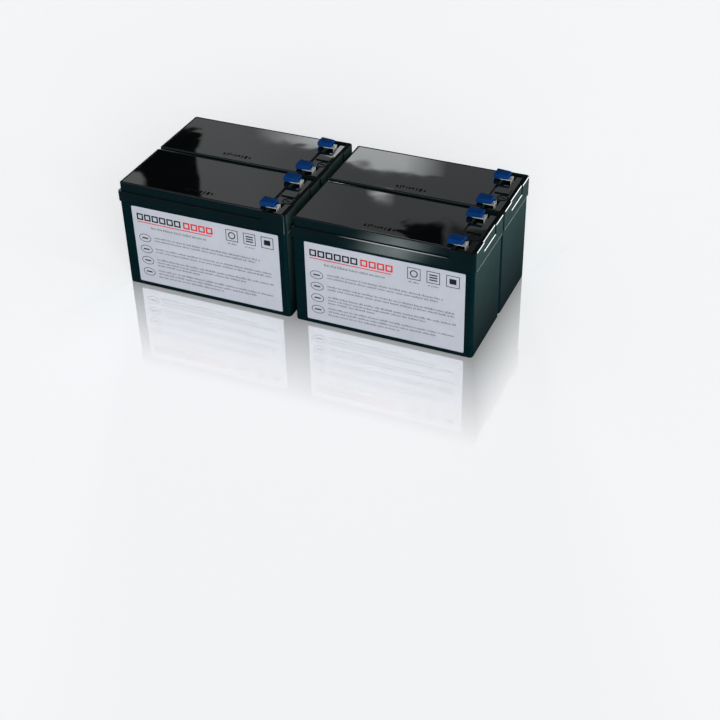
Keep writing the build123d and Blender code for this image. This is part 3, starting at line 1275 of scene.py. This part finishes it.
def dress_labels(finishes):
    """Models one label sheet with its print, copies it to the other front block and dresses both."""
    pieces = (
        (model_sheet(), "paper", "_label_sheet", ("_label",)),
        (model_dark_print(), "dark_ink", "_dark_print", ()),
        (model_red_print(), "red_ink", "_red_print", ()),
        (model_grey_print(), "grey_ink", "_grey_print", ()),
    )
    for first, finish, ending, nodes in pieces:
        for block in LABELLED:
            piece = piece_on(first, block, ending)
            dress(piece, finishes[finish], "label_sheet", *(block + node for node in nodes))


def add_node(tree, kind, *values):
    """A node with its first inputs given in order; returns its output."""
    node = tree.nodes.new(kind)
    for socket, value in zip(node.inputs, values):
        feed(tree, socket, value)
    return node.outputs[0]


def build_floor():
    """A wide pale floor with a mirror sheen that fades away from the blocks."""
    bpy.ops.object.select_all(action="DESELECT")
    bpy.ops.mesh.primitive_plane_add(size=FLOOR_SIZE, location=(0.0, 0.0, 0.0))
    floor = bpy.context.active_object
    floor.name = "studio_floor"
    material = bpy.data.materials.new("pale_floor")
    material.use_nodes = True
    tree = material.node_tree
    tree.nodes.remove(tree.nodes["Principled BSDF"])
    place = tree.nodes.new("ShaderNodeTexCoord").outputs["Object"]
    path = tree.nodes.new("ShaderNodeLightPath")
    split = tree.nodes.new("ShaderNodeSeparateXYZ")
    feed(tree, split.inputs["Vector"], place)
    reach_x = add_math(tree, "SUBTRACT", add_math(tree, "ABSOLUTE", split.outputs["X"], 0.0), cad_high[0])
    reach_y = add_math(tree, "SUBTRACT", add_math(tree, "ABSOLUTE", split.outputs["Y"], 0.0), cad_high[1])
    reach = add_math(tree, "MAXIMUM", add_math(tree, "MULTIPLY", reach_x, SHEEN_SIDE), reach_y)
    fade = add_range(tree, reach, 0.0, SHEEN_REACH, SHEEN_NEAR, 0.0)
    spot = tree.nodes.new("ShaderNodeVectorMath")
    spot.operation = "DISTANCE"
    feed(tree, spot.inputs[0], place)
    feed(tree, spot.inputs[1], SPOT_CENTRE)
    spot_light = add_range(tree, spot.outputs["Value"], SPOT_REACH, SPOT_CORE, MIRRORED_GLOW, SPOT_SHINE)
    camera_glow = add_math(tree, "MULTIPLY", path.outputs["Is Camera Ray"], FLOOR_GLOW)
    matte = add_node(tree, "ShaderNodeBsdfDiffuse", FLOOR_COLOR)
    glow = add_node(tree, "ShaderNodeEmission", FLOOR_COLOR, camera_glow)
    mirrored = add_node(tree, "ShaderNodeEmission", FLOOR_COLOR, spot_light)
    sheen = add_node(tree, "ShaderNodeBsdfGlossy", (1.0, 1.0, 1.0, 1.0), 0.0)
    pale = add_node(tree, "ShaderNodeAddShader", matte, glow)
    seen = add_node(tree, "ShaderNodeMixShader", path.outputs["Is Glossy Ray"], pale, mirrored)
    mix = add_node(tree, "ShaderNodeMixShader", fade, seen, sheen)
    tree.links.new(mix, tree.nodes["Material Output"].inputs["Surface"])
    floor.data.materials.append(material)


def add_glow(tree, place, way, edge, full, strength):
    """A bright soft-edged round in the surroundings, one way from the set."""
    facing = tree.nodes.new("ShaderNodeVectorMath")
    facing.operation = "DOT_PRODUCT"
    facing.inputs[1].default_value = way.normalized()
    tree.links.new(place.outputs["Generated"], facing.inputs[0])
    return add_range(tree, facing.outputs["Value"], edge, full, 0.0, strength)


def add_area(tree, *edges):
    """An area of the surroundings; each edge is a value, where it begins and where it is full."""
    area = 1.0
    for value, begin, full in edges:
        area = add_math(tree, "MULTIPLY", add_range(tree, value, begin, full, 0.0, 1.0), area)
    return area


def build_world():
    """Even pale surroundings; glossy surfaces show a grey room with a bright band and dark gaps."""
    world = bpy.data.worlds.new("studio")
    bpy.context.scene.world = world
    world.use_nodes = True
    tree = world.node_tree
    background = tree.nodes["Background"]
    place = tree.nodes.new("ShaderNodeTexCoord")
    path = tree.nodes.new("ShaderNodeLightPath")

    def plus(first, second):
        return add_math(tree, "ADD", first, second)

    def minus(first, second):
        return add_math(tree, "SUBTRACT", first, second)

    def times(first, second):
        return add_math(tree, "MULTIPLY", first, second)

    def larger(first, second):
        return add_math(tree, "MAXIMUM", first, second)

    # Where a mirrored ray goes: sideways and up for each unit away from the camera, with a slight ripple
    split = tree.nodes.new("ShaderNodeSeparateXYZ")
    feed(tree, split.inputs["Vector"], place.outputs["Generated"])
    ahead = split.outputs["Y"]
    up = split.outputs["Z"]
    away = larger(ahead, 0.05)
    side = add_math(tree, "DIVIDE", split.outputs["X"], away)
    rise = add_math(tree, "DIVIDE", up, away)
    flat = add_node(tree, "ShaderNodeCombineXYZ", side, rise)
    sway = minus(add_noise(tree, flat, 34.0, detail=1.0), 0.5)
    side = plus(side, times(sway, 0.014))
    rise = plus(rise, times(sway, 0.018))

    # The bright band with its step, and the bright patch above it
    band_rise = plus(rise, add_range(tree, side, -0.462, -0.482, 0.0, 0.0105))
    band = add_area(tree, (band_rise, 0.5775, 0.5745), (side, -0.550, -0.485), (side, -0.358, -0.397))
    patch_sides = ((side, -0.437, -0.426), (side, -0.409, -0.418))
    patch = add_area(tree, *patch_sides, (rise, 0.611, 0.604), (rise, 0.5965, 0.5975))
    bright = times(larger(band, patch), BAND_SHINE)

    # The dark gap on the left, and the dark flag and its wing on the right
    gap_side = minus(side, add_range(tree, rise, 0.592, 0.575, 0.0, 0.011))
    left_side = plus(side, add_range(tree, rise, 0.631, 0.628, 0.0, 0.1))
    gap = add_area(tree, (gap_side, -0.6125, -0.6155), (left_side, -0.680, -0.675), (rise, 0.5725, 0.5755))
    below = minus(0.634, rise)
    flag_side = minus(side, larger(times(below, 3.0), times(below, -1.5)))
    flag = add_area(tree, (flag_side, -0.417, -0.410), (rise, 0.6195, 0.6230), (side, -0.353, -0.361))
    wing = add_area(tree, (side, -0.358, -0.350), (side, -0.25, -0.28), (rise, 0.614, 0.622))
    dark = larger(larger(gap, flag), times(wing, 0.7))

    # The grey room, dimmer towards the front and above, with two lit rounds
    near_room = add_range(tree, side, -0.45, -0.56, ROOM_SHINE, 1.4 * ROOM_SHINE)
    far_room = add_range(tree, side, -0.66, -0.68, 0.0, 0.5 * ROOM_SHINE)
    room = plus(bright, plus(near_room, far_room))
    low_front = add_area(tree, (ahead, 0.0, -0.1), (up, 0.62, 0.52))
    behind = plus(add_range(tree, ahead, -0.05, 0.05, 0.15, 1.0), times(low_front, 0.6))
    strip = add_glow(tree, place, STRIP_WAY, 0.982, 0.989, STRIP_SHINE)
    panel = add_glow(tree, place, PANEL_WAY, 0.9991, 0.9999, PANEL_SHINE)
    shown = plus(times(room, minus(behind, dark)), plus(strip, panel))

    # Perfect mirrors see the backdrop, other glossy rays the room, and all else an even light
    mirror = path.outputs["Is Singular Ray"]
    glossy = path.outputs["Is Glossy Ray"]
    mirrored = times(plus(times(mirror, PALE_LEVEL), times(shown, minus(1.0, mirror))), glossy)
    fill = times(minus(1.0, glossy), ROOM_LEVEL)
    backdrop = times(path.outputs["Is Camera Ray"], PALE_LEVEL - ROOM_LEVEL)
    background.inputs["Color"].default_value = PALE_COLOR
    feed(tree, background.inputs["Strength"], plus(plus(mirrored, fill), backdrop))


def add_lamp(name, strength, width, toward):
    """A far lamp of one width in degrees that shines one way."""
    light = bpy.data.lights.new(name, "SUN")
    light.energy = strength
    light.angle = math.radians(width)
    lamp = bpy.data.objects.new(name, light)
    bpy.context.collection.objects.link(lamp)
    lamp.visible_glossy = False
    lamp.rotation_euler = Vector(toward).to_track_quat("-Z", "Y").to_euler()


def build_lamps():
    """A wide soft lamp from the front, the right and above, and level ones from the right and from behind."""
    add_lamp("front_lamp", 3.0, 50.0, (-0.46, 0.80, -0.25))
    add_lamp("side_lamp", 2.9, 10.0, (-1.0, 0.1, 0.0))
    add_lamp("back_lamp", 4.6, 10.0, (0.50, -1.0, 0.0))


def build_camera():
    """The camera at the photograph's place."""
    lens = bpy.data.cameras.new("photo_camera")
    lens.sensor_width = SENSOR_WIDTH
    lens.lens = FOCAL_PIXELS / IMAGE_SIZE * SENSOR_WIDTH
    lens.clip_start = 0.01
    lens.clip_end = 50.0
    camera = bpy.data.objects.new("photo_camera", lens)
    bpy.context.collection.objects.link(camera)
    ahead = Vector((
        -math.sin(CAMERA_AZIMUTH) * math.cos(CAMERA_ELEVATION),
        math.cos(CAMERA_AZIMUTH) * math.cos(CAMERA_ELEVATION),
        -math.sin(CAMERA_ELEVATION),
    ))
    right = Vector((math.cos(CAMERA_AZIMUTH), math.sin(CAMERA_AZIMUTH), 0.0))
    above = right.cross(ahead)
    axis_x = right * math.cos(CAMERA_ROLL) + above * math.sin(CAMERA_ROLL)
    axis_y = above * math.cos(CAMERA_ROLL) - right * math.sin(CAMERA_ROLL)
    turned = Matrix((axis_x, axis_y, -ahead)).transposed().to_4x4()
    camera.matrix_world = Matrix.Translation(CAMERA_PLACE) @ turned
    bpy.context.scene.camera = camera


finishes = build_materials()
dress_inner_nodes(finishes)
dress_blocks(finishes)
dress_terminals(finishes)
dress_labels(finishes)
build_floor()
build_world()
build_lamps()
build_camera()
bpy.context.scene.view_settings.view_transform = "Standard"
